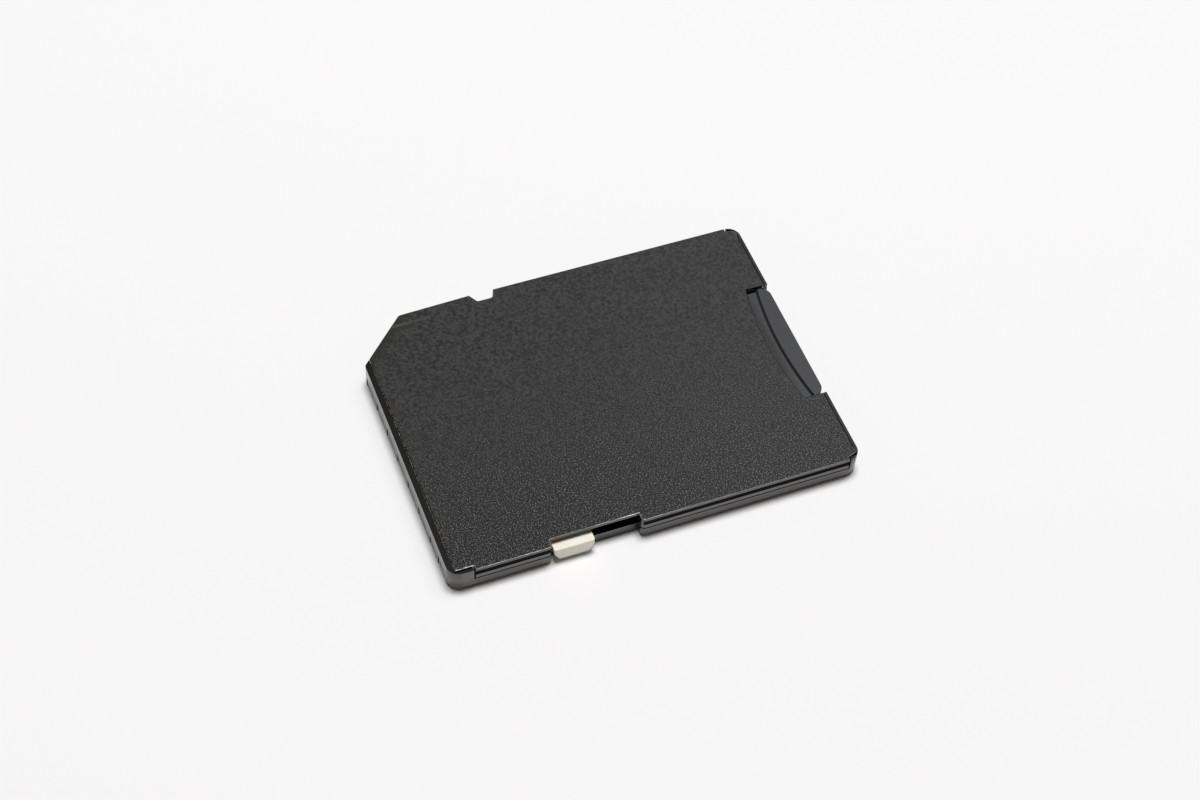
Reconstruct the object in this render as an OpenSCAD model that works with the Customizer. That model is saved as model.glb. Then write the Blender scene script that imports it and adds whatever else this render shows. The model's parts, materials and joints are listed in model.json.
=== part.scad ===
// Full-size memory card adapter, label side up, with a small memory card pushed home in it.
// The origin is the centre of the underside. +Y points to the end with the contacts, +X to the
// side with the cut corner and +Z to the label side. All sizes are in millimetres.

/* [Adapter outline] */
// Width across the long sides
card_w = 24; // [23.5:0.1:26]
// Length from the rear edge to the leading edge
card_l = 32; // [31:0.1:36]
// Overall thickness
card_t = 2.1; // [2:0.05:2.6]
// Leg of the cut corner
corner_cut = 4; // [3:0.1:4.6]
// Plan radius of the cut corner's two ends
cut_r = 0.4; // [0.1:0.05:0.8]
// Plan radius of the other three corners
corner_r = 1; // [0.6:0.05:1.4]
// How far the far side draws in between its notch and the cut corner
edge_taper = 0.15; // [0.05:0.01:0.3]

/* [Shells] */
// Thickness of the cover plate
cover_t = 0.45; // [0.35:0.01:0.5]
// Thickness of the cover's side flanges
flange_t = 0.6; // [0.4:0.05:0.7]
// Height of the parting line on the long sides
parting_z = 0.95; // [0.9:0.01:1.2]
// Height of the groove at the parting line
parting_gap = 0.05; // [0.02:0.01:0.1]
// Gap between the cover plate and the rim
cover_gap = 0.04; // [0.03:0.01:0.1]
// Gap between the cover and the corner posts
post_gap = 0.12; // [0.05:0.01:0.14]
// How far the rim stays below the cover's face
rim_drop = 0.05; // [0.02:0.01:0.3]
// Width of the rim along the leading edge
rim_lead = 0.5; // [0.35:0.01:0.7]
// Width of the rim along the rear edge
rim_rear = 0.26; // [0.2:0.01:0.5]
// Width of the ledge and inner walls that carry the cover
wall_t = 0.6; // [0.4:0.05:0.8]
// Edge radius of the cover plate
cover_r = 0.18; // [0.05:0.01:0.2]
// Length of the rear corner posts
rear_post_l = 1; // [0.9:0.05:1.4]
// Width of a rear corner post where it meets the long side
rear_post_w = 0.26; // [0.2:0.01:0.35]
// Length of the near leading corner post
lead_post_l = 1.93; // [1.5:0.01:2.4]
// Width of the near leading corner post
lead_post_w = 0.35; // [0.3:0.01:0.5]

/* [Long sides] */
// Height of the rails' underside above the resting plane
rail_z = 0.3; // [0.2:0.05:0.7]
// Width of the rails
rail_w = 0.7; // [0.5:0.05:0.9]
// Distance from the leading edge to the far side's notch
notch_from_lead = 9.6; // [9:0.05:12]
// Length of the far side's notch
notch_l = 1.95; // [1.5:0.05:2.2]
// Depth of the far side's notch
notch_depth = 0.75; // [0.6:0.05:0.8]
// How far the notch's leading side slants from its mouth to its floor
notch_slant = 0.45; // [0.2:0.05:0.5]
// How far the notch's rear side slants
notch_rear_slant = 0.3; // [0.1:0.05:0.4]
// Radius of the notch's floor corners
notch_r = 0.2; // [0.05:0.05:0.3]

/* [Write protect slider] */
// Distance from the leading edge to the slider's recess
recess_from_lead = 7.7; // [7.3:0.05:9]
// Length of the recess
recess_l = 6.85; // [6:0.05:8]
// Depth of the recess
recess_depth = 0.7; // [0.5:0.05:0.9]
// Radius of the recess's mouth corners
recess_r = 0.3; // [0.1:0.05:0.4]
// Height of the lip below the slider's slot
lip_z = 0.9; // [0.85:0.01:1.05]
// Thickness of that lip
lip_t = 0.4; // [0.3:0.05:0.6]
// Length of the slider
slider_l = 3.1; // [2.6:0.05:3.4]
// Free space between the slider and each end of its travel
slider_end_gap = 0.15; // [0.05:0.01:0.3]
// Height of the slider's underside
slider_z = 0.3; // [0.2:0.01:0.6]
// Height of the knob's top
slider_top_z = 1.48; // [1.3:0.01:1.5]
// Width of the slider's foot behind the lip
foot_w = 0.7; // [0.5:0.05:0.9]
// Clearance between the slider and the shells
slider_gap = 0.05; // [0.03:0.01:0.08]

/* [Contacts] */
// Distance from the far side to the middle of the first contact
pad1_inset = 5.125; // [4.9:0.025:5.4]
// Distance from the near side to the middle of the eighth contact
pad8_inset = 2.25; // [2.1:0.01:2.4]
// Width of a contact window
window_w = 1.7; // [1.4:0.05:1.8]
// Width of the seventh contact's window
window7_w = 1.3; // [1:0.05:1.3]
// Width of the eighth contact's window
window8_w = 1; // [0.8:0.05:1.1]
// Length of a contact pad
pad_l = 4.2; // [3.8:0.1:4.6]
// Distance from the leading edge to the pads
pad_from_lead = 1.4; // [1.35:0.05:1.6]
// How much further back the contact behind the cut corner begins
pad9_back = 2; // [1.8:0.05:2.4]
// Overlap of a pad on the floor round its window
pad_lap = 0.1; // [0.05:0.01:0.12]
// Sheet thickness of the terminals
terminal_t = 0.12; // [0.08:0.01:0.14]
// Width of the leads and the spring arms
lead_w = 0.5; // [0.35:0.05:0.6]
// Clearance of a terminal in its groove
lead_gap = 0.03; // [0.02:0.01:0.04]
// Width of the strip that joins the two ground contacts
bridge_w = 0.35; // [0.25:0.05:0.4]

/* [Small card] */
// Width of the small card
small_w = 11; // [10.8:0.1:11.4]
// Length of the small card
small_l = 15; // [14.6:0.1:15.4]
// Thickness of the small card
small_t = 0.7; // [0.65:0.01:0.75]
// Height of the finger ridge above the small card's face
ridge_h = 0.3; // [0.2:0.01:0.35]
// Length of the finger ridge at its middle
ridge_l = 1.46; // [1.2:0.01:1.6]
// Radius of the finger ridge's curved front
ridge_r = 30; // [24:1:60]
// How far the ridge's front leans back from its foot to its top
ridge_lean = 0.1; // [0:0.01:0.2]
// How far the small card's front is narrowed on the far side
small_step = 1.3; // [1.1:0.05:1.4]
// Length of the narrowed front
small_front_l = 6; // [5.6:0.1:6.4]
// Plan radius of the small card's rear corners
small_r = 0.8; // [0.5:0.05:1]
// How far the small card stays inside the adapter's rear edge
small_inset = 0.04; // [0:0.01:0.2]
// Clearance round the small card
small_gap = 0.05; // [0.03:0.01:0.08]
// Thickness of the small card's circuit board
board_t = 0.2; // [0.15:0.01:0.25]
// Distance from the small card's narrowed side to the middle of its first contact
small_pad1_inset = 1; // [0.8:0.05:1.2]
// Distance from its other side to the middle of its eighth contact
small_pad8_inset = 1; // [0.8:0.05:1.2]
// Length of the small card's contacts
small_pad_l = 2.9; // [2.6:0.1:3.2]
// Width of the small card's contacts
small_pad_w = 0.8; // [0.6:0.05:0.85]

/* [Finger cut-out] */
// Width of the cut-out in the cover
finger_w = 11.2; // [11.1:0.05:12]
// Depth of the cut-out at its sides, from the cover's rear edge
finger_side = 1.55; // [1.4:0.05:1.9]
// How much deeper the cut-out is at its middle
finger_bow = 0.6; // [0.3:0.05:0.8]

/* [Hidden] */
$fn = 64;
// Overlap that lets a cut pass through a face
cut = 0.1;
// A smaller one, where the face that is cut carries other walls
skim = 0.01;
// Flats in a quarter of a small edge radius, and along each of the long shallow arcs
round_steps = 5;
arc_steps = 32;
diagonal = sqrt(2);

// Edges of the adapter in plan
far_x = card_w / 2;
near_x = -card_w / 2;
lead_y = card_l / 2;
rear_y = -card_l / 2;
// The cut corner runs along x + y = cut_sum
cut_sum = far_x + lead_y - corner_cut;
notch_lead_y = lead_y - notch_from_lead;
notch_rear_y = notch_lead_y - notch_l;
recess_lead_y = lead_y - recess_from_lead;
recess_rear_y = recess_lead_y - recess_l;
recess_x = near_x + recess_depth;

// Heights
seat_z = card_t - cover_t;
floor_z = seat_z - small_t - 2 * small_gap;
small_z = floor_z + small_gap;
small_top_z = small_z + small_t;
rim_z = card_t - rim_drop;
terminal_z = floor_z - terminal_t - lead_gap;

// The cover in plan
cover_lead_y = lead_y - rim_lead;
cover_rear_y = rear_y + rim_rear;
flange_rear_y = rear_y + rear_post_l;
flange_lead_y = lead_y - lead_post_l;
// The cut corner's end on the far side, and how far that side turns from the Y axis there
cut_far = [far_x - edge_taper, cut_sum - far_x + edge_taper];
taper_turn = atan2(edge_taper, cut_far.y - notch_lead_y);
far_flange_lead_y = cut_far.y - wall_t;
shelf_x = far_x - flange_t - parting_gap;
rib_t = 0.8 * wall_t;
finger_y = cover_rear_y + finger_side + finger_bow;
finger_r = (pow(finger_w / 2, 2) + pow(finger_bow, 2)) / (2 * finger_bow);

// The small card in plan
small_rear_y = rear_y + small_inset;
small_front_y = small_rear_y + small_l;
small_side_x = small_w / 2;
small_narrow_x = small_side_x - small_step;
step_y = small_front_y - small_front_l;
// The latch notch behind the step of the small card
latch_land = 0.55;
latch_l = 1.3;
latch_depth = 0.65;
latch_y = step_y - small_step - latch_land;
ridge_front_y = small_rear_y + ridge_l;

// Contacts, whose last two steps are a little shorter than the others
pad7_share = 0.97;
pad8_share = 0.68;
pad_pitch = (card_w - pad1_inset - pad8_inset) / (5 + pad7_share + pad8_share);
pad_front_y = lead_y - pad_from_lead;
pad_rear_y = pad_front_y - pad_l;
bridge_gap = 0.15;
bridge_y = pad_front_y + bridge_gap;
fan_start_gap = 0.6;
fan_l = 2;
fan_end_y = small_front_y + fan_l;
arm_root_gap = 0.3;
arm_root_y = small_front_y + arm_root_gap;
arm_reach = 2.3;
arm_contact_y = small_front_y - arm_reach;
arm_tip_l = 0.5;
arm_tip_y = arm_contact_y - arm_tip_l;
arm_side_gap = 0.15;
arm_end_gap = 0.3;
arm_slot_depth = 0.35;
arm_slot_z = floor_z - arm_slot_depth;
small_pitch = (small_w - small_step - small_pad1_inset - small_pad8_inset) / 7;
small_pad1_x = small_narrow_x - small_pad1_inset;
small_pad_front_gap = 0.8;
small_pad_front_y = small_front_y - small_pad_front_gap;
small_pad_t = 0.04;
lip_below = 0.15;
mouth_rise = 0.3;
mouth_z = terminal_z + mouth_rise;
GROUND_PADS = [3, 6];

// Slider, at rest at the leading end of its recess
slider_y = recess_lead_y - slider_end_gap - slider_l;
pocket_x = recess_x + lip_t;
pocket_far_x = pocket_x + foot_w + 2 * slider_gap;
pocket_z = 0.6;
// The knob's lower corners are cut away, and its ends narrow slightly towards its face
slider_bevel_l = 0.45;
slider_bevel_h = 0.7;
slider_nose = 0.1;

// Chips on the small card's board
die_side_gap = 0.95;
die_rear_gap = 1.8;
die_share = 0.43;
memory_die_t = 0.24;
controller_l = 2.2;
controller_w = 2.4;
controller_t = 0.15;
controller_gap = 1.4;

// Contact numbers run from the far side to the near side, apart from number nine
function pad_x(n) =
    n == 9 ? pad_x(1) + pad_pitch :
    n == 8 ? pad_x(7) - pad8_share * pad_pitch :
    n == 7 ? pad_x(6) - pad7_share * pad_pitch :
    far_x - pad1_inset - (n - 1) * pad_pitch;
function pad_window(n) = n == 8 ? window8_w : n == 7 ? window7_w : window_w;
function pad_front(n) = n == 9 ? pad_front_y - pad9_back : pad_front_y;
function small_pad_x(n) = small_pad1_x - (n - 1) * small_pitch;

// Corners of the adapter in plan, drawn in by an inset, counter-clockwise from the near rear one
function outline(inset) = [
    [near_x + inset, rear_y + inset],
    [far_x - inset, rear_y + inset],
    [far_x - inset, notch_lead_y],
    [far_x - edge_taper - inset, cut_sum - inset * diagonal - (far_x - edge_taper - inset)],
    [cut_sum - inset * diagonal - (lead_y - inset), lead_y - inset],
    [near_x + inset, lead_y - inset]
];

// What a rounded corner takes off a part that spans an angle at it, turned from the X axis
module corner_cutter(at, turn, r, angle = 90) {
    half = angle / 2;
    run = r / tan(half);
    touch = [run * cos(half) - cut * sin(half), run * sin(half) + cut * cos(half)];
    translate(at)
        rotate(turn + half)
            difference() {
                polygon([
                    [r / sin(half), 0],
                    touch,
                    [-cut / sin(half), 0],
                    [touch.x, -touch.y]
                ]);
                translate([r / sin(half), 0])
                    circle(r);
            }
}

module adapter_profile(inset = 0) {
    pts = outline(inset);
    r = max(corner_r - inset, cut);
    end_r = max(cut_r - inset, cut);
    difference() {
        polygon(pts);
        corner_cutter(pts[0], 0, r);
        corner_cutter(pts[1], 90, r);
        corner_cutter(pts[3], 135, end_r, 135 + taper_turn);
        corner_cutter(pts[4], 180, end_r, 135);
        corner_cutter(pts[5], 270, r);
    }
}

module recess_profile() {
    translate([near_x - cut, recess_rear_y])
        square([recess_depth + cut, recess_l]);
    corner_cutter([near_x, recess_rear_y], 270, recess_r);
    corner_cutter([near_x, recess_lead_y], 0, recess_r);
}

module notch_profile() {
    floor_x = far_x - notch_depth;
    lead_turn = atan2(notch_slant, notch_depth);
    rear_turn = atan2(notch_rear_slant, notch_depth);
    difference() {
        polygon([
            [far_x + cut, notch_rear_y - cut * tan(rear_turn)],
            [floor_x, notch_rear_y + notch_rear_slant],
            [floor_x, notch_lead_y - notch_slant],
            [far_x + cut, notch_lead_y + cut * tan(lead_turn)]
        ]);
        corner_cutter([floor_x, notch_rear_y + notch_rear_slant], -rear_turn, notch_r, 90 + rear_turn);
        corner_cutter([floor_x, notch_lead_y - notch_slant], 270, notch_r, 90 + lead_turn);
    }
}

module top_cover() {
    color([0.25, 0.25, 0.26])
        difference() {
            intersection() {
                cover_blank();
                cover_side(0, far_x);
                cover_side(taper_turn, far_x * cos(taper_turn) + notch_lead_y * sin(taper_turn));
                cover_side(45, cut_sum / diagonal);
                cover_side(90, cover_lead_y);
                cover_side(180, -near_x);
                cover_side(270, -cover_rear_y);
            }
            translate([0, 0, -cut])
                linear_extrude(card_t + 2 * cut) {
                    recess_profile();
                    notch_profile();
                    finger_profile();
                    post_profiles();
                    corner_cutter(cut_far, 135, cut_r, 135 + taper_turn);
                }
        }
}

// The cover's plate and flanges before their outer sides are formed
module cover_blank() {
    translate([near_x - cut, rear_y, seat_z])
        cube([card_w + 2 * cut, card_l, cover_t + cut]);
    translate([0, 0, parting_z + parting_gap])
        linear_extrude(seat_z - parting_z) {
            translate([near_x - cut, flange_rear_y])
                square([flange_t + cut, flange_lead_y - flange_rear_y]);
            translate([far_x - flange_t, flange_rear_y])
                square([flange_t + cut, far_flange_lead_y - flange_rear_y]);
        }
}

// All that lies within one side of the cover, whose top edge is rounded. The side faces along an
// angle in plan, at a distance from the origin
module cover_side(turn, reach) {
    centre = [reach - cover_r, card_t - cover_r];
    arc = [for (k = [0 : round_steps]) 90 * k / round_steps];
    rotate(turn)
        rotate([90, 0, 0])
            linear_extrude(2 * card_l, center = true)
                polygon(concat(
                    [[-card_l, card_t], [-card_l, 0], [reach, 0]],
                    [for (a = arc) centre + cover_r * [cos(a), sin(a)]]
                ));
}

// What the shell's corner posts take out of the cover
module post_profiles() {
    for (side = [0, 1])
        mirror([side, 0])
            polygon([
                [near_x - 2 * cut, flange_rear_y],
                [near_x + rear_post_w, flange_rear_y],
                [near_x + 2 * rear_post_w, cover_rear_y],
                [near_x + 2 * rear_post_w, rear_y - cut],
                [near_x - 2 * cut, rear_y - cut]
            ]);
    translate([near_x - 2 * cut, flange_lead_y])
        square([lead_post_w + 2 * cut, lead_post_l + cut]);
}

// Points of a shallow arc that bows towards +Y, from its far end to its near end
function shallow_arc(top_y, r, half_w) =
    let(half_turn = asin(half_w / r))
        [for (k = [0 : arc_steps]) let(a = half_turn * (1 - 2 * k / arc_steps))
            [r * sin(a), top_y - r * (1 - cos(a))]];

module finger_profile() {
    polygon(concat(
        [[-finger_w / 2, rear_y - cut], [finger_w / 2, rear_y - cut]],
        shallow_arc(finger_y, finger_r, finger_w / 2)
    ));
}

module bottom_shell() {
    color([0.2, 0.2, 0.21])
        difference() {
            union() {
                shell_floor();
                shell_walls();
            }
            translate([0, 0, -cut])
                linear_extrude(card_t + 2 * cut)
                    notch_profile();
            slider_pocket();
            for (n = [1 : 9])
                contact_window(n);
            terminal_grooves();
            for (n = [1 : 8])
                arm_slot(n);
        }
}

module shell_floor() {
    // The plateau that the adapter rests on
    linear_extrude(rail_z)
        intersection() {
            adapter_profile();
            translate([near_x + rail_w, rear_y])
                square([card_w - 2 * rail_w, card_l]);
        }
    translate([0, 0, rail_z])
        linear_extrude(floor_z - rail_z)
            adapter_profile();
    // The rails' tops, which meet the cover's flanges
    translate([0, 0, rail_z])
        linear_extrude(parting_z - rail_z)
            difference() {
                adapter_profile();
                adapter_profile(flange_t + parting_gap);
                small_card_way();
            }
}

// The way that the small card takes through the rear edge
module small_card_way() {
    translate([-small_side_x - small_gap, rear_y - cut])
        square([small_w + 2 * small_gap, small_front_y - rear_y + cut]);
}

module shell_walls() {
    rise = seat_z - floor_z;
    // The rim round the cover plate
    translate([0, 0, floor_z])
        linear_extrude(rim_z - floor_z)
            difference() {
                adapter_profile();
                rim_opening();
                flange_space();
                small_card_way();
                translate([-finger_w / 2, rear_y - cut])
                    square([finger_w, rim_rear + 2 * cut]);
            }
    // The ledge inside the rim, which carries the cover
    translate([0, 0, floor_z])
        linear_extrude(rise) {
            difference() {
                adapter_profile();
                inner_space();
                flange_space();
                small_card_way();
                recess_profile();
            }
            guides();
            ribs();
        }
}

// The cover plate's outline with its gap
module rim_opening() {
    g = cover_gap;
    p = post_gap;
    polygon([
        [near_x + 2 * rear_post_w - p, cover_rear_y - g],
        [far_x - 2 * rear_post_w + p, cover_rear_y - g],
        [far_x - rear_post_w + p, flange_rear_y - p],
        [far_x + cut, flange_rear_y - p],
        [far_x + cut, cover_lead_y + g],
        [near_x + lead_post_w - p, cover_lead_y + g],
        [near_x + lead_post_w - p, flange_lead_y + p],
        [near_x - cut, flange_lead_y + p],
        [near_x - cut, flange_rear_y - p],
        [near_x + rear_post_w - p, flange_rear_y - p]
    ]);
}

module flange_space() {
    translate([near_x - cut, flange_rear_y - post_gap])
        square([flange_t + parting_gap + cut, flange_lead_y - flange_rear_y + 2 * post_gap]);
    translate([shelf_x, flange_rear_y - post_gap])
        square([flange_t + parting_gap + cut, far_flange_lead_y - flange_rear_y + 2 * post_gap]);
}

// The free space inside the ledge
module inner_space() {
    side = flange_t + parting_gap + wall_t;
    polygon([
        [near_x + side, rear_y + rim_rear + wall_t],
        [far_x - side, rear_y + rim_rear + wall_t],
        [far_x - side, cut_sum - wall_t * diagonal - far_x + side],
        [cut_sum - wall_t * diagonal - cover_lead_y + wall_t, cover_lead_y - wall_t],
        [near_x + side, cover_lead_y - wall_t]
    ]);
}

// Walls that guide the small card and stop its front
module guides() {
    in_x = small_side_x + small_gap;
    out_x = in_x + wall_t;
    key_x = small_narrow_x + small_gap;
    end_y = small_front_y + small_gap;
    difference() {
        polygon([
            [-out_x, rear_y + rim_rear],
            [out_x, rear_y + rim_rear],
            [out_x, end_y + wall_t],
            [-out_x, end_y + wall_t]
        ]);
        polygon([
            [-in_x, rear_y],
            [in_x, rear_y],
            [in_x, step_y - small_step],
            [key_x, step_y],
            [key_x, end_y],
            [-in_x, end_y]
        ]);
    }
}

// Ribs that hold the cover up beside and ahead of the small card
module ribs() {
    side = flange_t + parting_gap + wall_t / 2;
    guide_x = small_side_x + small_gap + wall_t / 2;
    bay_l = (small_front_y - rear_y) / 3;
    for (i = [1, 2]) {
        translate([near_x + side, rear_y + i * bay_l])
            square([far_x - side - guide_x, rib_t]);
        translate([guide_x, rear_y + i * bay_l])
            square([far_x - side - guide_x, rib_t]);
    }
    for (x = [pad_x(2), pad_x(4), pad_x(6)])
        translate([(x + pad_x(4)) / 2, small_front_y])
            square([rib_t, fan_end_y - small_front_y + wall_t]);
    // The block round the slider's pocket
    translate([near_x + side, recess_rear_y - wall_t])
        square([pocket_far_x + rib_t - near_x - side, recess_l + 2 * wall_t]);
}

module slider_pocket() {
    translate([0, 0, -cut])
        linear_extrude(card_t + 2 * cut)
            recess_profile();
    // The slot above the lip
    translate([recess_x - cut, recess_rear_y, lip_z])
        cube([pocket_far_x - recess_x + cut, recess_l, card_t]);
    // The trough behind the lip
    translate([pocket_x, recess_rear_y, pocket_z])
        cube([pocket_far_x - pocket_x, recess_l, card_t]);
}

// A window in the underside with its mouth in the leading edge
module contact_window(n) {
    w = pad_window(n);
    front = pad_front(n);
    edge = min(lead_y, cut_sum - pad_x(n) + w / 2);
    translate([pad_x(n) - w / 2, pad_rear_y + pad_lap, -cut])
        cube([w, front - pad_rear_y - pad_lap, terminal_z + cut]);
    translate([pad_x(n) - w / 2, 0, 0])
        rotate([90, 0, 90])
            linear_extrude(w)
                polygon([
                    [front - cut, -cut],
                    [front - cut, terminal_z - lip_below],
                    [front + bridge_w + lip_below, terminal_z - lip_below],
                    [edge + cut, mouth_z],
                    [edge + cut, -cut]
                ]);
}

module terminal_grooves() {
    translate([0, 0, terminal_z])
        linear_extrude(floor_z - terminal_z + skim)
            for (pair = TERMINALS)
                terminal_plan(pair[0], pair[1], lead_gap);
    translate([0, 0, terminal_z])
        linear_extrude(floor_z - terminal_z + skim)
            ground_plan(lead_gap);
}

// Adapter contact and small card contact that each terminal joins
TERMINALS = [[9, 1], [1, 2], [2, 3], [4, 4], [5, 5], [6, 6], [7, 7], [8, 8]];

module terminal_pad_plan(n, grow) {
    half = pad_window(n) / 2 + pad_lap + grow;
    translate([pad_x(n) - half, pad_rear_y - grow])
        square([2 * half, pad_front(n) - pad_rear_y + 2 * grow]);
}

module terminal_plan(n, m, grow = 0) {
    half = lead_w / 2 + grow;
    stops = [
        [pad_x(n), pad_rear_y + pad_lap],
        [pad_x(n), pad_rear_y - fan_start_gap],
        [small_pad_x(m), fan_end_y],
        [small_pad_x(m), arm_root_y - grow]
    ];
    terminal_pad_plan(n, grow);
    polygon(concat(
        [for (s = stops) s - [half, 0]],
        [for (i = [3 : -1 : 0]) stops[i] + [half, 0]]
    ));
}

// The second ground pad and the strip that joins it to the first, ahead of the pads between
module ground_plan(grow = 0) {
    far = pad_x(GROUND_PADS[0]);
    near = pad_x(GROUND_PADS[1]);
    half = window_w / 2 + pad_lap + grow;
    terminal_pad_plan(GROUND_PADS[0], grow);
    translate([near - half, bridge_y - grow])
        square([far - near + 2 * half, bridge_w + 2 * grow]);
    for (x = [far, near])
        translate([x - half, pad_front_y - pad_lap])
            square([2 * half, bridge_y - pad_front_y + 2 * pad_lap]);
}

module arm_slot(m) {
    translate([small_pad_x(m) - lead_w / 2 - arm_side_gap, arm_tip_y - arm_end_gap, arm_slot_z])
        cube([lead_w + 2 * arm_side_gap, arm_root_y - arm_tip_y + arm_end_gap, card_t]);
}

module write_protect_slider() {
    tongue_x = recess_x - slider_gap;
    foot_x = pocket_x + slider_gap;
    lip_top_z = lip_z + slider_gap;
    foot_top_z = seat_z - slider_gap;
    color([0.9, 0.88, 0.82]) {
        slider_knob(tongue_x);
        // The tongue over the lip
        translate([tongue_x - cut, slider_y, lip_top_z])
            cube([foot_x + foot_w - tongue_x + cut, slider_l, slider_top_z - lip_top_z]);
        // The foot behind the lip
        translate([foot_x, slider_y, pocket_z + slider_gap])
            cube([foot_w, slider_l, foot_top_z - pocket_z - slider_gap]);
    }
}

// The knob outside the lip, with its ends cut away towards its face and its underside
module slider_knob(in_x) {
    nose = slider_nose;
    slope_l = slider_bevel_l;
    slope_z = slider_z + slider_bevel_h;
    intersection() {
        translate([0, 0, slider_z])
            linear_extrude(slider_top_z - slider_z)
                polygon([
                    [in_x, slider_y],
                    [in_x, slider_y + slider_l],
                    [near_x + nose, slider_y + slider_l],
                    [near_x, slider_y + slider_l - nose],
                    [near_x, slider_y + nose],
                    [near_x + nose, slider_y]
                ]);
        translate([near_x - cut, 0, 0])
            rotate([90, 0, 90])
                linear_extrude(in_x - near_x + 2 * cut)
                    polygon([
                        [slider_y, slider_top_z],
                        [slider_y, slope_z],
                        [slider_y + slope_l, slider_z],
                        [slider_y + slider_l - slope_l, slider_z],
                        [slider_y + slider_l, slope_z],
                        [slider_y + slider_l, slider_top_z]
                    ]);
    }
}

module spring_arm(m) {
    rise = small_z - lead_gap - terminal_t - terminal_z;
    t = terminal_t;
    translate([small_pad_x(m) - lead_w / 2, 0, terminal_z])
        rotate([90, 0, 90])
            linear_extrude(lead_w)
                polygon([
                    [arm_root_y + cut, 0],
                    [arm_root_y + cut, t],
                    [arm_root_y - lead_w, t],
                    [arm_contact_y, t + rise],
                    [arm_tip_y, t - rise],
                    [arm_tip_y, -rise],
                    [arm_contact_y, rise],
                    [arm_root_y - lead_w, 0]
                ]);
}

module terminal(n, m) {
    color([0.85, 0.68, 0.3]) {
        translate([0, 0, terminal_z])
            linear_extrude(terminal_t)
                terminal_plan(n, m);
        spring_arm(m);
    }
}

module terminal_ground() {
    color([0.85, 0.68, 0.3]) {
        translate([0, 0, terminal_z])
            linear_extrude(terminal_t) {
                terminal_plan(GROUND_PADS[1], 6);
                ground_plan();
            }
        spring_arm(6);
    }
}

module small_card_profile() {
    difference() {
        polygon([
            [-small_side_x, small_rear_y],
            [small_side_x, small_rear_y],
            [small_side_x, latch_y - latch_l],
            [small_side_x - latch_depth, latch_y - latch_l],
            [small_side_x - latch_depth, latch_y - latch_depth / 2],
            [small_side_x, latch_y],
            [small_side_x, step_y - small_step],
            [small_narrow_x, step_y],
            [small_narrow_x, small_front_y],
            [-small_side_x, small_front_y]
        ]);
        corner_cutter([-small_side_x, small_rear_y], 0, small_r);
        corner_cutter([small_side_x, small_rear_y], 90, small_r);
        corner_cutter([small_narrow_x, small_front_y], 180, small_r / 2);
        corner_cutter([-small_side_x, small_front_y], 270, small_r / 2);
    }
}

// The finger ridge, whose front bows towards the card's front and leans back a little
module finger_ridge() {
    span = small_side_x + cut;
    lean = ridge_lean / ridge_h;
    intersection() {
        translate([0, 0, small_top_z - cut])
            linear_extrude(ridge_h + cut)
                small_card_profile();
        translate([0, 0, small_top_z])
            multmatrix([[1, 0, 0, 0], [0, 1, -lean, 0], [0, 0, 1, 0]])
                translate([0, 0, -cut])
                    linear_extrude(ridge_h + cut)
                        polygon(concat(
                            [[-span, small_rear_y - cut], [span, small_rear_y - cut]],
                            shallow_arc(ridge_front_y, ridge_r, span)
                        ));
    }
}

module microsd_body() {
    color([0.28, 0.28, 0.29])
        difference() {
            union() {
                translate([0, 0, small_z + board_t])
                    linear_extrude(small_t - board_t)
                        small_card_profile();
                finger_ridge();
            }
            memory_die_space();
            controller_die_space();
        }
}

module microsd_board() {
    color([0.1, 0.1, 0.12])
        difference() {
            translate([0, 0, small_z])
                linear_extrude(board_t)
                    small_card_profile();
            for (n = [1 : 8])
                small_pad_block(n, cut);
        }
}

// One contact of the small card, let into its underside
module small_pad_block(n, below = 0) {
    translate([small_pad_x(n) - small_pad_w / 2, small_pad_front_y - small_pad_l, small_z - below])
        cube([small_pad_w, small_pad_l, small_pad_t + below]);
}

module microsd_pad(n) {
    color([0.85, 0.68, 0.3])
        small_pad_block(n);
}

// The chips lie on the board, the memory beside the latch notch and the controller ahead of it
module memory_die_space() {
    translate([die_side_gap - small_side_x, small_rear_y + die_rear_gap, small_z + board_t])
        cube([small_w - latch_depth - 2 * die_side_gap, die_share * small_l, memory_die_t]);
}

module controller_die_space() {
    ahead_y = small_rear_y + die_rear_gap + die_share * small_l + controller_gap;
    translate([-controller_w, ahead_y, small_z + board_t])
        cube([controller_w, controller_l, controller_t]);
}

module memory_die() {
    color([0.45, 0.47, 0.52])
        memory_die_space();
}

module controller_die() {
    color([0.45, 0.47, 0.52])
        controller_die_space();
}

top_cover();
bottom_shell();
write_protect_slider();
terminal(9, 1);  // terminal_dat2
terminal(1, 2);  // terminal_dat3
terminal(2, 3);  // terminal_cmd
terminal_ground();
terminal(4, 4);  // terminal_vdd
terminal(5, 5);  // terminal_clk
terminal(7, 7);  // terminal_dat0
terminal(8, 8);  // terminal_dat1
microsd_body();
microsd_board();
memory_die();
controller_die();
microsd_pad(1);  // microsd_pad_1
microsd_pad(2);  // microsd_pad_2
microsd_pad(3);  // microsd_pad_3
microsd_pad(4);  // microsd_pad_4
microsd_pad(5);  // microsd_pad_5
microsd_pad(6);  // microsd_pad_6
microsd_pad(7);  // microsd_pad_7
microsd_pad(8);  // microsd_pad_8
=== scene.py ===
"""Looks of the memory card adapter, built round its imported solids.

Lengths are in metres. The values of the window mouths and of the dust are in millimetres, and
the functions that use them turn them into metres.
"""
import json
import math
import random

import bmesh
import bpy
from mathutils import Matrix, Vector


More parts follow.
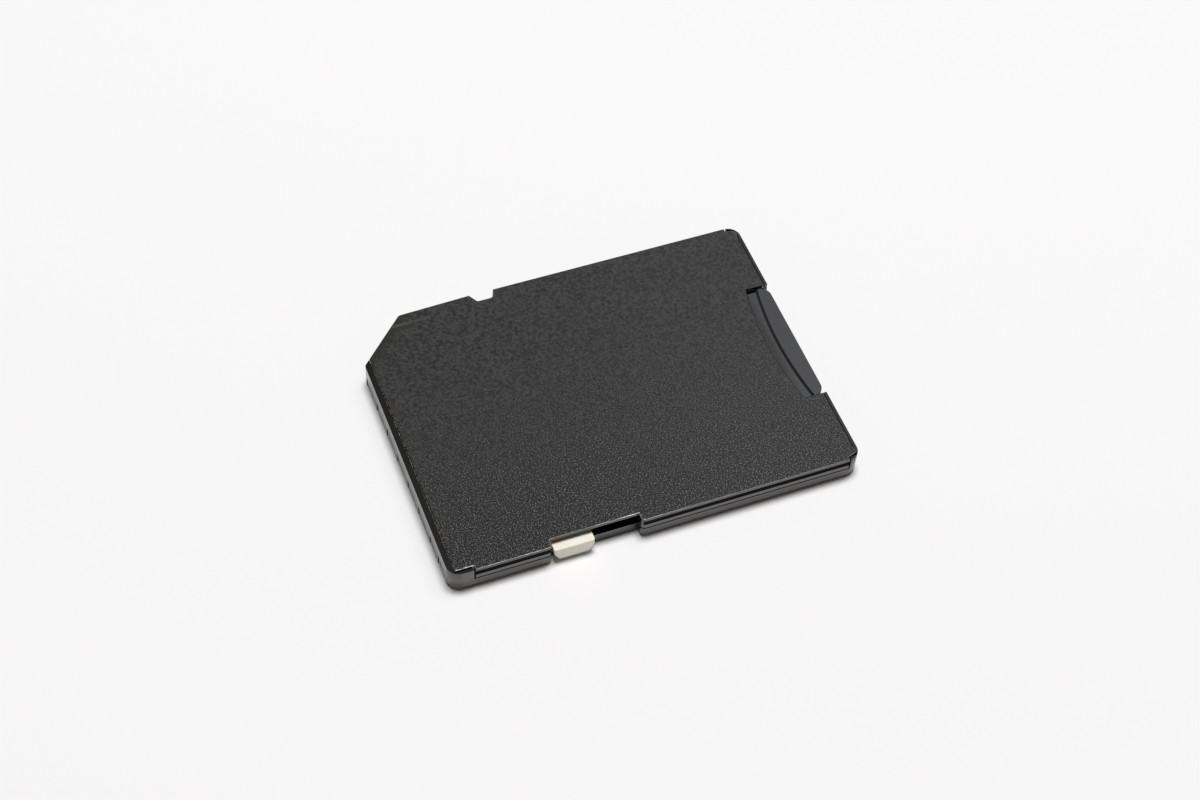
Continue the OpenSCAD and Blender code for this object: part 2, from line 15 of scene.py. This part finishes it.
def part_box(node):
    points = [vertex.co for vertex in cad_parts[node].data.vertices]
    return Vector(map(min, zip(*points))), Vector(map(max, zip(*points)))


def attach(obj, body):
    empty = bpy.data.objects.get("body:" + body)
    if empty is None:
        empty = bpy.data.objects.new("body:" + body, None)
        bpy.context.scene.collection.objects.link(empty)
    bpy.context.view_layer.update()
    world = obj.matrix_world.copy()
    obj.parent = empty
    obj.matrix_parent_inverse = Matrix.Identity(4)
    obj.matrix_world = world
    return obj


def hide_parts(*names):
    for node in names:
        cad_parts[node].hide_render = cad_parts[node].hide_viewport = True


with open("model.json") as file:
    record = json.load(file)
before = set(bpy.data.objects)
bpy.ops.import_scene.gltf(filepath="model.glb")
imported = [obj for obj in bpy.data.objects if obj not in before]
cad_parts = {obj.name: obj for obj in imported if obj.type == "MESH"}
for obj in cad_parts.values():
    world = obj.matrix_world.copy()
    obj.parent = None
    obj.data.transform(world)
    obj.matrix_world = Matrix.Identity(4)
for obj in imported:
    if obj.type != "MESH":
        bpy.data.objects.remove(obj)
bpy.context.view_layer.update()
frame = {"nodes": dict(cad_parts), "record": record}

MM = 0.001

# The camera, fitted to the edges of the adapter in the photograph
CAMERA_AZIMUTH = -114.12
CAMERA_ELEVATION = 52.53
CAMERA_ROLL = 4.05
CAMERA_TARGET = Vector((-0.037, 0.102, 1.0)) * MM
CAMERA_DISTANCE = 168.07 * MM
CAMERA_CLIP_START = 0.01
FOCAL_PIXELS = 2232.9
PHOTO_WIDTH = 1200
SENSOR_WIDTH = 36

# A soft panel hangs nearly overhead, and a dimmer one stands further towards the rear:
# place, width across X, length along Y and power
LAMPS = {
    "main_panel": (Vector((0.14, -0.06, 1.0)), 0.34, 0.46, 8.6),
    "rear_panel": (Vector((0.18, -0.47, 1.0)), 0.5, 0.5, 1.2),
}
ROOM_COLOUR = (0.075, 0.069, 0.063)
FLOOR_SIZE = 3.0
FLOOR_COLOUR = (0.978, 0.972, 0.978)

# Heights and corners closer than the first count as one, the second joins the corners of the
# cover's own mesh, and the third is the tolerance of its cuts
NEARNESS = 1e-6
MERGE_DISTANCE = 1e-7
CUT_TOLERANCE = 1e-8
# Faces that meet under the first angle are joined into a flat, and edges over the second are sharp
FLAT_ANGLE = math.radians(0.5)
SHARP_ANGLE = math.radians(40)

# Widths of the small edge bevels of the moulded pieces
EDGE_BEVELS = {
    "bottom_shell": 0.03 * MM,
    "write_protect_slider": 0.07 * MM,
    "microsd_body": 0.04 * MM,
    "microsd_board": 0.02 * MM,
}

# The cover's walls are cut off below their rounding and rise to crisp edges instead
WALL_CUT_Z = 1.9 * MM
COVER_BEVEL = 0.06 * MM
# The seam under its long walls is opened a little further
SEAM_OPENING = 0.07 * MM
# Each long wall has a groove under the plate: a short lip, a deep part and a slope out to the foot
GROOVE_LIP_Z = 1.87 * MM
GROOVE_HIGH_Z = 1.86 * MM
GROOVE_LOW_Z = 1.62 * MM
GROOVE_FOOT_Z = 1.42 * MM
GROOVE_DEPTH = 0.28 * MM
OUTER_WALL_X = 11.95 * MM
# Over the slider's recess the plate's edge leans in towards its foot
PLATE_FOOT_LOW_Z = 1.6 * MM
PLATE_FOOT_HIGH_Z = 1.7 * MM
RECESS_EDGE_X = 11.3 * MM
RECESS_EDGE_REACH = 0.05 * MM
RECESS_UNDERCUT = 0.2 * MM
# The cover's materials: the grained one on its flat top, the smooth one on its walls and crest, with
# a painted highlight on the crest
GRAINED_SLOT = 0
WALL_SLOT = 1
LEVEL_NORMAL_Z = 0.99

# The cover's grain is crisp at the near side and coarse and weak at the far side
GRAIN_FAR_X = 13 * MM
GRAIN_NEAR_X = -13 * MM
# Its tone rises from the leading end to the rear end, a painted light gradient, and its flecks grow
# weaker
TONE_LEADING_Y = 16 * MM
TONE_REAR_Y = -17 * MM
# The cut corner is darker and brownish, where X and Y together pass from the first to the second
CORNER_START = 22.3 * MM
CORNER_END = 24.2 * MM
# A faint painted highlight line runs back from the cut corner, beside the long edge
HIGHLIGHT_LINE_X = 10.9 * MM
HIGHLIGHT_LINE_WIDTH = 0.2 * MM
HIGHLIGHT_LINE_START_Y = 8.0 * MM
HIGHLIGHT_LINE_END_Y = 12.5 * MM
HIGHLIGHT_LINE_STRENGTH = 0.6
# A painted highlight makes the crest paler along the long edges only
CREST_LOW_Z = 1.92 * MM
CREST_HIGH_Z = 1.97 * MM
CREST_INNER_X = 10.9 * MM
CREST_OUTER_X = 11.2 * MM

# The foot of the shell's long sides is paler and brownish, dust together with painted light, and the
# upward faces of its rear rim are paler
FOOT_INNER_X = 11.3 * MM
FOOT_OUTER_X = 11.8 * MM
FOOT_HIGH_Z = 0.8 * MM
FOOT_LOW_Z = 0.35 * MM
RIM_START_Y = -14.85 * MM
RIM_END_Y = -15.0 * MM
# The small card's ridge is paler than the rest of its body
RIDGE_START_Y = -14.0 * MM
RIDGE_END_Y = -14.6 * MM

# Blocks stand in the mouths of the contact windows, a little behind the leading face. Six are
# alike, and two are narrower: the middle of each along X, and its width, in millimetres
WINDOW_PITCH = 2.5
FIRST_MOUTH_X = 6.875
MOUTH_WIDTH = 1.68
NARROW_MOUTHS = [(-8.05, 1.28), (-9.75, 0.98)]
MOUTH_BLOCKS = [(FIRST_MOUTH_X - WINDOW_PITCH * n, MOUTH_WIDTH) for n in range(6)] + NARROW_MOUTHS
MOUTH_FACE_Y = 15.96
MOUTH_BACK_Y = 15.45
MOUTH_LOW_Z = 0.02
MOUTH_HIGH_Z = 0.95
MOUTH_BEVEL = 0.03

# Dust lies in the seam between the cover's leading edge and the rim, in millimetres
SEAM_Y = 15.52
SEAM_FROM_X = -11.4
SEAM_TO_X = 8.1
DUST_Z = 2.075
DUST_SEED = 7
DUST_GRAINS = 260
# Spread of the steps between grains, and the chance and spread of a longer one, in mean steps
DUST_STEPS = (0.2, 1.8)
DUST_GAP_CHANCE = 0.25
DUST_GAPS = (0.5, 2.0)
DUST_SCATTER = 0.012
GRAIN_LENGTHS = (0.03, 0.07)
GRAIN_WIDTHS = (0.018, 0.032)
GRAIN_HEIGHTS = (0.02, 0.035)
GRAIN_TURN = 0.5
GRAIN_UNEVENNESS = 0.004


def make_camera():
    a = math.radians(CAMERA_AZIMUTH)
    e = math.radians(CAMERA_ELEVATION)
    roll = math.radians(CAMERA_ROLL)
    back = Vector((math.sin(a) * math.cos(e), -math.cos(a) * math.cos(e), math.sin(e)))
    level = Vector((math.cos(a), math.sin(a), 0))
    up = back.cross(level)
    right = math.cos(roll) * level + math.sin(roll) * up
    up = math.cos(roll) * up - math.sin(roll) * level
    turn = Matrix((right, up, back)).transposed().to_4x4()
    camera = bpy.data.objects.new("camera", bpy.data.cameras.new("camera"))
    camera.matrix_world = Matrix.Translation(CAMERA_TARGET + back * CAMERA_DISTANCE) @ turn
    camera.data.sensor_width = SENSOR_WIDTH
    camera.data.lens = SENSOR_WIDTH * FOCAL_PIXELS / PHOTO_WIDTH
    camera.data.clip_start = CAMERA_CLIP_START
    bpy.context.scene.collection.objects.link(camera)
    bpy.context.scene.camera = camera


def make_lamp(name, place, width, length, power):
    """A soft oval lamp that faces the adapter, with its width along X."""
    data = bpy.data.lights.new(name, "AREA")
    data.shape = "ELLIPSE"
    data.size = width
    data.size_y = length
    data.energy = power
    back = place.normalized()
    along = back.cross(Vector((1, 0, 0))).normalized()
    turn = Matrix((along.cross(back), along, back)).transposed().to_4x4()
    lamp = bpy.data.objects.new(name, data)
    lamp.matrix_world = Matrix.Translation(place) @ turn
    bpy.context.scene.collection.objects.link(lamp)


def make_room():
    world = bpy.data.worlds.new("dim_room")
    world.use_nodes = True
    world.node_tree.nodes["Background"].inputs["Color"].default_value = (*ROOM_COLOUR, 1)
    bpy.context.scene.world = world


class Surface:
    """A node material with its shader, its object coordinates and short ways to add nodes."""

    def __init__(self, name, roughness=0.5, colour=(0.8, 0.8, 0.8), ior=1.5):
        self.material = bpy.data.materials.new(name)
        self.material.use_nodes = True
        self.tree = self.material.node_tree
        self.shader = self.tree.nodes["Principled BSDF"]
        self.shader.inputs["Roughness"].default_value = roughness
        self.shader.inputs["Base Color"].default_value = (*colour, 1)
        self.shader.inputs["IOR"].default_value = ior
        self.coordinates = self.add("ShaderNodeTexCoord").outputs["Object"]

    def add(self, kind, **settings):
        node = self.tree.nodes.new(kind)
        for key, value in settings.items():
            setattr(node, key, value)
        return node

    def put(self, value, socket):
        """A value for a socket: a number, a colour or another node's output."""
        if isinstance(value, (int, float)):
            socket.default_value = value
        elif isinstance(value, tuple):
            socket.default_value = (*value, 1)
        else:
            self.tree.links.new(value, socket)

    def set(self, name, value):
        """A value for one of the shader's own sockets."""
        self.put(value, self.shader.inputs[name])

    def math(self, kind, first, second=0.0, clamp=True):
        """The result of an operation on two values, kept from 0 to 1 unless clamp is off."""
        node = self.add("ShaderNodeMath", operation=kind, use_clamp=clamp)
        self.put(first, node.inputs[0])
        self.put(second, node.inputs[1])
        return node.outputs["Value"]

    def both(self, first, second):
        """The product of two masks, or of a mask and a strength."""
        return self.math("MULTIPLY", first, second)

    def fade(self, value, start, end):
        """0 at the start and 1 at the end, smooth between them."""
        node = self.add("ShaderNodeMapRange", interpolation_type="SMOOTHSTEP")
        self.put(value, node.inputs["Value"])
        self.put(start, node.inputs["From Min"])
        self.put(end, node.inputs["From Max"])
        return node.outputs["Result"]

    def level(self, factor, first, second):
        """A number that goes from the first to the second as the factor goes from 0 to 1."""
        node = self.add("ShaderNodeMapRange")
        self.put(factor, node.inputs["Value"])
        self.put(first, node.inputs["To Min"])
        self.put(second, node.inputs["To Max"])
        return node.outputs["Result"]

    def along(self, axis):
        """The coordinate along an axis of the frame, in metres."""
        node = self.add("ShaderNodeSeparateXYZ")
        self.put(self.coordinates, node.inputs["Vector"])
        return node.outputs[axis]

    def distance(self, axis, place=0.0):
        """How far a point lies from a place along an axis, to either side."""
        offset = self.math("SUBTRACT", self.along(axis), place, clamp=False)
        return self.math("ABSOLUTE", offset, clamp=False)

    def facing_up(self, start, end):
        """0 to 1 as the upward part of the face's direction goes from the start to the end."""
        node = self.add("ShaderNodeSeparateXYZ")
        self.put(self.add("ShaderNodeNewGeometry").outputs["True Normal"], node.inputs["Vector"])
        return self.fade(node.outputs["Z"], start, end)

    def noise(self, per_mm, detail=2.0, roughness=0.5):
        """Fractal noise with a scale per millimetre."""
        node = self.add("ShaderNodeTexNoise")
        node.inputs["Scale"].default_value = per_mm / MM
        node.inputs["Detail"].default_value = detail
        node.inputs["Roughness"].default_value = roughness
        self.put(self.coordinates, node.inputs["Vector"])
        return node.outputs["Fac"]

    def ramp(self, value, stops):
        """Colours along a value, as (position, grey or colour) pairs."""
        node = self.add("ShaderNodeValToRGB")
        points = node.color_ramp.elements
        while len(points) < len(stops):
            points.new(0.5)
        for point, (position, colour) in zip(points, stops):
            grey = isinstance(colour, (int, float))
            point.position = position
            point.color = (colour,) * 3 + (1,) if grey else (*colour, 1)
        self.put(value, node.inputs["Fac"])
        return node.outputs["Color"]

    def mix(self, factor, first, second, blend="MIX"):
        node = self.add("ShaderNodeMix", data_type="RGBA", blend_type=blend)
        colour_sockets = [i for i in node.inputs if i.type == "RGBA"]
        self.put(factor, node.inputs["Factor"])
        self.put(first, colour_sockets[0])
        self.put(second, colour_sockets[1])
        return [o for o in node.outputs if o.type == "RGBA"][0]

    def bump(self, height, depth, strength=1.0):
        node = self.add("ShaderNodeBump")
        node.inputs["Distance"].default_value = depth
        self.put(strength, node.inputs["Strength"])
        self.put(height, node.inputs["Height"])
        self.set("Normal", node.outputs["Normal"])


def grained_cover():
    """Black plastic from a spark-eroded mould: a fine grain with light flecks on its flat face."""
    s = Surface("grained_black_plastic", ior=1.3)
    even_grey = (0.037, 0.037, 0.037)
    corner_brown = (0.016, 0.0145, 0.012)
    highlight_grey = (0.09, 0.09, 0.085)
    side_black = (0.014, 0.0135, 0.013)
    flat = s.facing_up(0.99, 0.999)
    near = s.fade(s.along("X"), GRAIN_FAR_X, GRAIN_NEAR_X)
    rear = s.fade(s.along("Y"), TONE_LEADING_Y, TONE_REAR_Y)
    grain = s.noise(9.5, 2.0, 0.6)
    fine = s.ramp(grain, [(0.46, 0.0), (0.55, 0.042), (0.63, 0.18), (0.72, 0.4)])
    coarse = s.ramp(s.noise(4.5, 1.0), [(0.35, 0.0), (0.65, 0.08)])
    crisp = s.both(s.level(near, 0.55, 1.0), s.level(rear, 1.0, 0.6))
    flecks = s.mix(crisp, even_grey, s.mix(near, coarse, fine))
    # Painted light: the top grows lighter from the leading end towards the rear end
    painted_light_ramp = s.ramp(rear, [(0.0, 0.73), (0.5, 0.86), (1.0, 1.08)])
    top = s.mix(1.0, flecks, painted_light_ramp, "MULTIPLY")
    sum_of_xy = s.math("ADD", s.along("X"), s.along("Y"), clamp=False)
    corner = s.fade(sum_of_xy, CORNER_START, CORNER_END)
    top = s.mix(corner, top, corner_brown)
    # Painted highlight: a faint light line beside the long edge, back from the cut corner
    beside_highlight_line = s.fade(s.distance("X", HIGHLIGHT_LINE_X), HIGHLIGHT_LINE_WIDTH, 0.0)
    highlight_line = s.both(beside_highlight_line, s.fade(s.along("Y"), HIGHLIGHT_LINE_START_Y, HIGHLIGHT_LINE_END_Y))
    top = s.mix(s.both(highlight_line, HIGHLIGHT_LINE_STRENGTH), top, highlight_grey)
    s.set("Base Color", s.mix(flat, side_black, top))
    s.set("Roughness", s.level(flat, 0.22, 0.55))
    s.bump(grain, 0.04 * MM, s.both(flat, crisp))
    return s.material


def wall_with_painted_highlight():
    """The cover's smooth walls, polished by handling, with a painted highlight that makes the crest
    of the long edges paler.
    """
    s = Surface("black_plastic_with_painted_highlight", 0.12, ior=1.85)
    wall_black = (0.009, 0.009, 0.009)
    # Painted highlight along the crest of the long edges
    crest = s.both(s.facing_up(0.3, 0.6), s.fade(s.along("Z"), CREST_LOW_Z, CREST_HIGH_Z))
    crest = s.both(crest, s.fade(s.distance("X"), CREST_INNER_X, CREST_OUTER_X))
    painted_highlight = s.ramp(s.noise(2.5, 3.0, 0.6), [(0.3, 0.12), (0.7, 0.3)])
    s.set("Base Color", s.mix(crest, wall_black, painted_highlight))
    s.bump(s.noise(3.0, 2.0), 0.002 * MM, 0.2)
    return s.material


def smooth_shell():
    """Black plastic from a polished mould, paler and brownish at its foot with dust and painted
    light, and paler on the upward faces of the rear rim.
    """
    s = Surface("smooth_black_plastic", 0.14, ior=1.85)
    dust_and_light_grey = (0.095, 0.09, 0.08)
    rim_grey = (0.045, 0.045, 0.045)
    plastic = s.ramp(s.noise(1.2, 3.0), [(0.3, 0.007), (0.7, 0.012)])
    # Partly dust and partly painted light: the foot of the long sides is paler and brownish
    long_sides = s.fade(s.distance("X"), FOOT_INNER_X, FOOT_OUTER_X)
    foot = s.both(long_sides, s.fade(s.along("Z"), FOOT_HIGH_Z, FOOT_LOW_Z))
    dust_and_light = s.mix(foot, plastic, dust_and_light_grey)
    rear_rim = s.both(s.fade(s.along("Y"), RIM_START_Y, RIM_END_Y), s.facing_up(0.5, 0.9))
    s.set("Base Color", s.mix(rear_rim, dust_and_light, rim_grey))
    s.bump(s.noise(3.0, 2.0), 0.002 * MM, 0.2)
    return s.material


def cream_slider():
    s = Surface("cream_plastic", 0.35)
    creams = [(0.3, (0.91, 0.865, 0.745)), (0.7, (0.96, 0.925, 0.815))]
    s.set("Base Color", s.ramp(s.noise(1.5, 3.0), creams))
    s.set("Subsurface Weight", 0.15)
    s.set("Subsurface Scale", 0.3 * MM)
    s.bump(s.noise(9.0, 2.0), 0.006 * MM, 0.4)
    return s.material


def card_moulding():
    """The small card's matte epoxy, dark and with a paler grey ridge."""
    s = Surface("grey_epoxy", 0.42)
    fine = s.noise(14.0, 2.0)
    ridge = s.ramp(fine, [(0.3, (0.032, 0.033, 0.036)), (0.7, (0.043, 0.045, 0.049))])
    body = s.ramp(s.noise(8.0, 2.0), [(0.4, 0.006), (0.6, 0.022)])
    on_ridge = s.fade(s.along("Y"), RIDGE_START_Y, RIDGE_END_Y)
    s.set("Base Color", s.mix(on_ridge, body, ridge))
    s.bump(fine, 0.004 * MM, 0.4)
    return s.material


def card_board():
    s = Surface("black_solder_mask", 0.3)
    blacks = [(0.3, (0.010, 0.012, 0.011)), (0.7, (0.018, 0.022, 0.019))]
    s.set("Base Color", s.ramp(s.noise(0.8, 3.0), blacks))
    s.bump(s.noise(2.0, 2.0), 0.003 * MM, 0.3)
    return s.material


def gold_plate():
    s = Surface("gold_plating", 0.28)
    golds = [(0.3, (0.80, 0.56, 0.24)), (0.7, (0.92, 0.70, 0.34))]
    s.set("Metallic", 1.0)
    s.set("Base Color", s.ramp(s.noise(2.0, 4.0, 0.6), golds))
    s.bump(s.noise(12.0, 2.0), 0.002 * MM, 0.3)
    return s.material


def sawn_silicon():
    s = Surface("sawn_silicon", 0.25)
    greys = [(0.3, (0.20, 0.21, 0.24)), (0.7, (0.28, 0.29, 0.33))]
    s.set("Metallic", 0.6)
    s.set("Base Color", s.ramp(s.noise(1.0, 2.0), greys))
    return s.material


def seam_dirt():
    """The dust in the leading seam, from dark to sandy."""
    s = Surface("seam_dirt", 0.9)
    browns = [(0.35, (0.14, 0.13, 0.11)), (0.55, (0.26, 0.22, 0.16)), (0.7, (0.45, 0.36, 0.23))]
    s.set("Base Color", s.ramp(s.noise(1.3, 3.0), browns))
    return s.material


MATERIALS = {
    "cover_plastic": grained_cover,
    "shell_plastic": smooth_shell,
    "slider_plastic": cream_slider,
    "card_plastic": card_moulding,
    "card_board": card_board,
    "contact_gold": gold_plate,
    "silicon": sawn_silicon,
}


def dress_nodes():
    """Gives each solid the material of its slot, and returns the materials by slot."""
    slot_of = {s["node"]: s["material_slot"] for s in frame["record"]["subparts"]}
    made = {slot: make() for slot, make in MATERIALS.items()}
    for name, piece in frame["nodes"].items():
        piece.material_slots[0].material = made[slot_of[name]]
    return made


def soften_edges(piece, width):
    """Small bevels along the sharp edges, with even shading over flats and curves."""
    piece.modifiers.new("join_corners", "WELD").merge_threshold = NEARNESS
    flats = piece.modifiers.new("join_flats", "DECIMATE")
    flats.decimate_type = "DISSOLVE"
    flats.angle_limit = FLAT_ANGLE
    bevel = piece.modifiers.new("edge_bevel", "BEVEL")
    bevel.width = width
    bevel.segments = 2
    bevel.limit_method = "ANGLE"
    bevel.angle_limit = SHARP_ANGLE
    piece.modifiers.new("even_shading", "WEIGHTED_NORMAL").keep_sharp = False


def new_piece(name, shape):
    """An object from a bmesh, riding on the adapter."""
    mesh = bpy.data.meshes.new(name)
    shape.to_mesh(mesh)
    shape.free()
    piece = bpy.data.objects.new(name, mesh)
    bpy.context.scene.collection.objects.link(piece)
    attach(piece, "adapter")
    return piece


def edges_in(geometry):
    return [g for g in geometry if isinstance(g, bmesh.types.BMEdge)]


def cut_level(shape, z, clear_above=False):
    """Cuts the shape through at a height, and returns the edges of the cut."""
    parts = shape.verts[:] + shape.edges[:] + shape.faces[:]
    cut = bmesh.ops.bisect_plane(
        shape,
        geom=parts,
        dist=CUT_TOLERANCE,
        plane_co=(0, 0, z),
        plane_no=(0, 0, 1),
        clear_outer=clear_above,
    )
    return edges_in(cut["geom_cut"])


def square_off(shape, top):
    """Takes away the rounding of the walls, and raises them to a flat top with square edges."""
    outline = cut_level(shape, WALL_CUT_Z, clear_above=True)
    raised = bmesh.ops.extrude_edge_only(shape, edges=outline)["geom"]
    raised_verts = [g for g in raised if isinstance(g, bmesh.types.BMVert)]
    bmesh.ops.translate(shape, verts=raised_verts, vec=(0, 0, top - WALL_CUT_Z))
    bmesh.ops.contextual_create(shape, geom=edges_in(raised))


def shape_walls(shape, foot):
    """Sinks the groove, leans in the plate's edge over the recess and opens the seam below."""
    for z in (GROOVE_LIP_Z, GROOVE_HIGH_Z, GROOVE_LOW_Z, GROOVE_FOOT_Z):
        cut_level(shape, z)
    for vert in shape.verts:
        in_groove = GROOVE_LOW_Z - NEARNESS < vert.co.z < GROOVE_HIGH_Z + NEARNESS
        if in_groove and abs(vert.co.x) > OUTER_WALL_X:
            vert.co.x -= math.copysign(GROOVE_DEPTH, vert.co.x)
        at_plate_foot = PLATE_FOOT_LOW_Z < vert.co.z < PLATE_FOOT_HIGH_Z
        if at_plate_foot and abs(vert.co.x + RECESS_EDGE_X) < RECESS_EDGE_REACH:
            vert.co.x += RECESS_UNDERCUT
        if vert.co.z < foot + NEARNESS:
            vert.co.z += SEAM_OPENING
    bmesh.ops.recalc_face_normals(shape, faces=shape.faces[:])


def bevel_crest(shape, top):
    """Rounds the top edges a little, and sorts the faces by material and the edges by sharpness."""
    for face in shape.faces:
        on_top = face.normal.z > LEVEL_NORMAL_Z and face.calc_center_median().z > WALL_CUT_Z
        face.material_index = GRAINED_SLOT if on_top else WALL_SLOT
    crest = [e for e in shape.edges if min(v.co.z for v in e.verts) > top - NEARNESS]
    bmesh.ops.bevel(
        shape,
        geom=crest,
        offset=COVER_BEVEL,
        segments=3,
        profile=0.5,
        affect="EDGES",
        material=WALL_SLOT,
    )
    for face in shape.faces:
        face.smooth = True
    for edge in shape.edges:
        edge.smooth = len(edge.link_faces) != 2 or edge.calc_face_angle() < SHARP_ANGLE


def make_cover():
    """The cover from its solid, with crisper edges and a groove along its outer walls."""
    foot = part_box("top_cover")[0][2]
    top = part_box("top_cover")[1][2]
    shape = bmesh.new()
    shape.from_mesh(frame["nodes"]["top_cover"].data)
    bmesh.ops.remove_doubles(shape, verts=shape.verts[:], dist=MERGE_DISTANCE)
    square_off(shape, top)
    shape_walls(shape, foot)
    bevel_crest(shape, top)
    cover = new_piece("crisp_cover", shape)
    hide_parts("top_cover")
    cover.modifiers.new("even_shading", "WEIGHTED_NORMAL").keep_sharp = True
    return cover


def add_block(shape, low, high, bevel):
    """A block with softened edges between two corners, in millimetres."""
    size = Vector(high) - Vector(low)
    middle = (Vector(high) + Vector(low)) / 2
    turn = Matrix.Translation(middle * MM) @ Matrix.Diagonal((*(size * MM), 1))
    block = bmesh.ops.create_cube(shape, size=1, matrix=turn)
    edges = list({e for v in block["verts"] for e in v.link_edges})
    bmesh.ops.bevel(shape, geom=edges, offset=bevel * MM, segments=2, affect="EDGES")


def make_mouth_blocks():
    """The blocks that close the mouths of the contact windows."""
    shape = bmesh.new()
    for x, width in MOUTH_BLOCKS:
        low = (x - width / 2, MOUTH_BACK_Y, MOUTH_LOW_Z)
        high = (x + width / 2, MOUTH_FACE_Y, MOUTH_HIGH_Z)
        add_block(shape, low, high, MOUTH_BEVEL)
    blocks = new_piece("window_mouths", shape)
    return blocks


def make_seam_dust():
    """Uneven grains, strewn in clusters along the seam."""
    pick = random.Random(DUST_SEED)
    shape = bmesh.new()
    x = SEAM_FROM_X
    step = (SEAM_TO_X - SEAM_FROM_X) / DUST_GRAINS
    for _ in range(DUST_GRAINS):
        x += step * pick.uniform(*DUST_STEPS)
        if pick.random() < DUST_GAP_CHANCE:
            x += step * pick.uniform(*DUST_GAPS)
        place = Vector((min(x, SEAM_TO_X), SEAM_Y + pick.gauss(0, DUST_SCATTER), DUST_Z)) * MM
        spans = (GRAIN_LENGTHS, GRAIN_WIDTHS, GRAIN_HEIGHTS)
        scale = Vector([pick.uniform(*span) for span in spans]) * MM
        turn = Matrix.Rotation(pick.uniform(-GRAIN_TURN, GRAIN_TURN), 4, "Z")
        lie = Matrix.Translation(place) @ turn @ Matrix.Diagonal((*scale, 1))
        grain = bmesh.ops.create_icosphere(shape, subdivisions=1, radius=1, matrix=lie)
        for vert in grain["verts"]:
            shift = [pick.uniform(-GRAIN_UNEVENNESS, GRAIN_UNEVENNESS) * MM for _ in range(3)]
            vert.co += Vector(shift)
    dust = new_piece("seam_dust", shape)
    return dust


def make_floor():
    mesh = bpy.data.meshes.new("floor")
    h = FLOOR_SIZE / 2
    mesh.from_pydata([(-h, -h, 0), (h, -h, 0), (h, h, 0), (-h, h, 0)], [], [(0, 1, 2, 3)])
    floor = bpy.data.objects.new("floor", mesh)
    bpy.context.scene.collection.objects.link(floor)
    s = Surface("pale_floor", 0.8, FLOOR_COLOUR)
    s.set("Specular IOR Level", 0.0)
    mesh.materials.append(s.material)


make_camera()
for lamp_name, (lamp_place, lamp_width, lamp_length, lamp_power) in LAMPS.items():
    make_lamp(lamp_name, lamp_place, lamp_width, lamp_length, lamp_power)
make_room()
make_floor()
materials = dress_nodes()
cover = make_cover()
cover.data.materials.append(materials["cover_plastic"])
cover.data.materials.append(wall_with_painted_highlight())
make_mouth_blocks().data.materials.append(materials["shell_plastic"])
make_seam_dust().data.materials.append(seam_dirt())
for node_name, bevel_width in EDGE_BEVELS.items():
    soften_edges(frame["nodes"][node_name], bevel_width)
bpy.context.scene.view_settings.view_transform = "Standard"
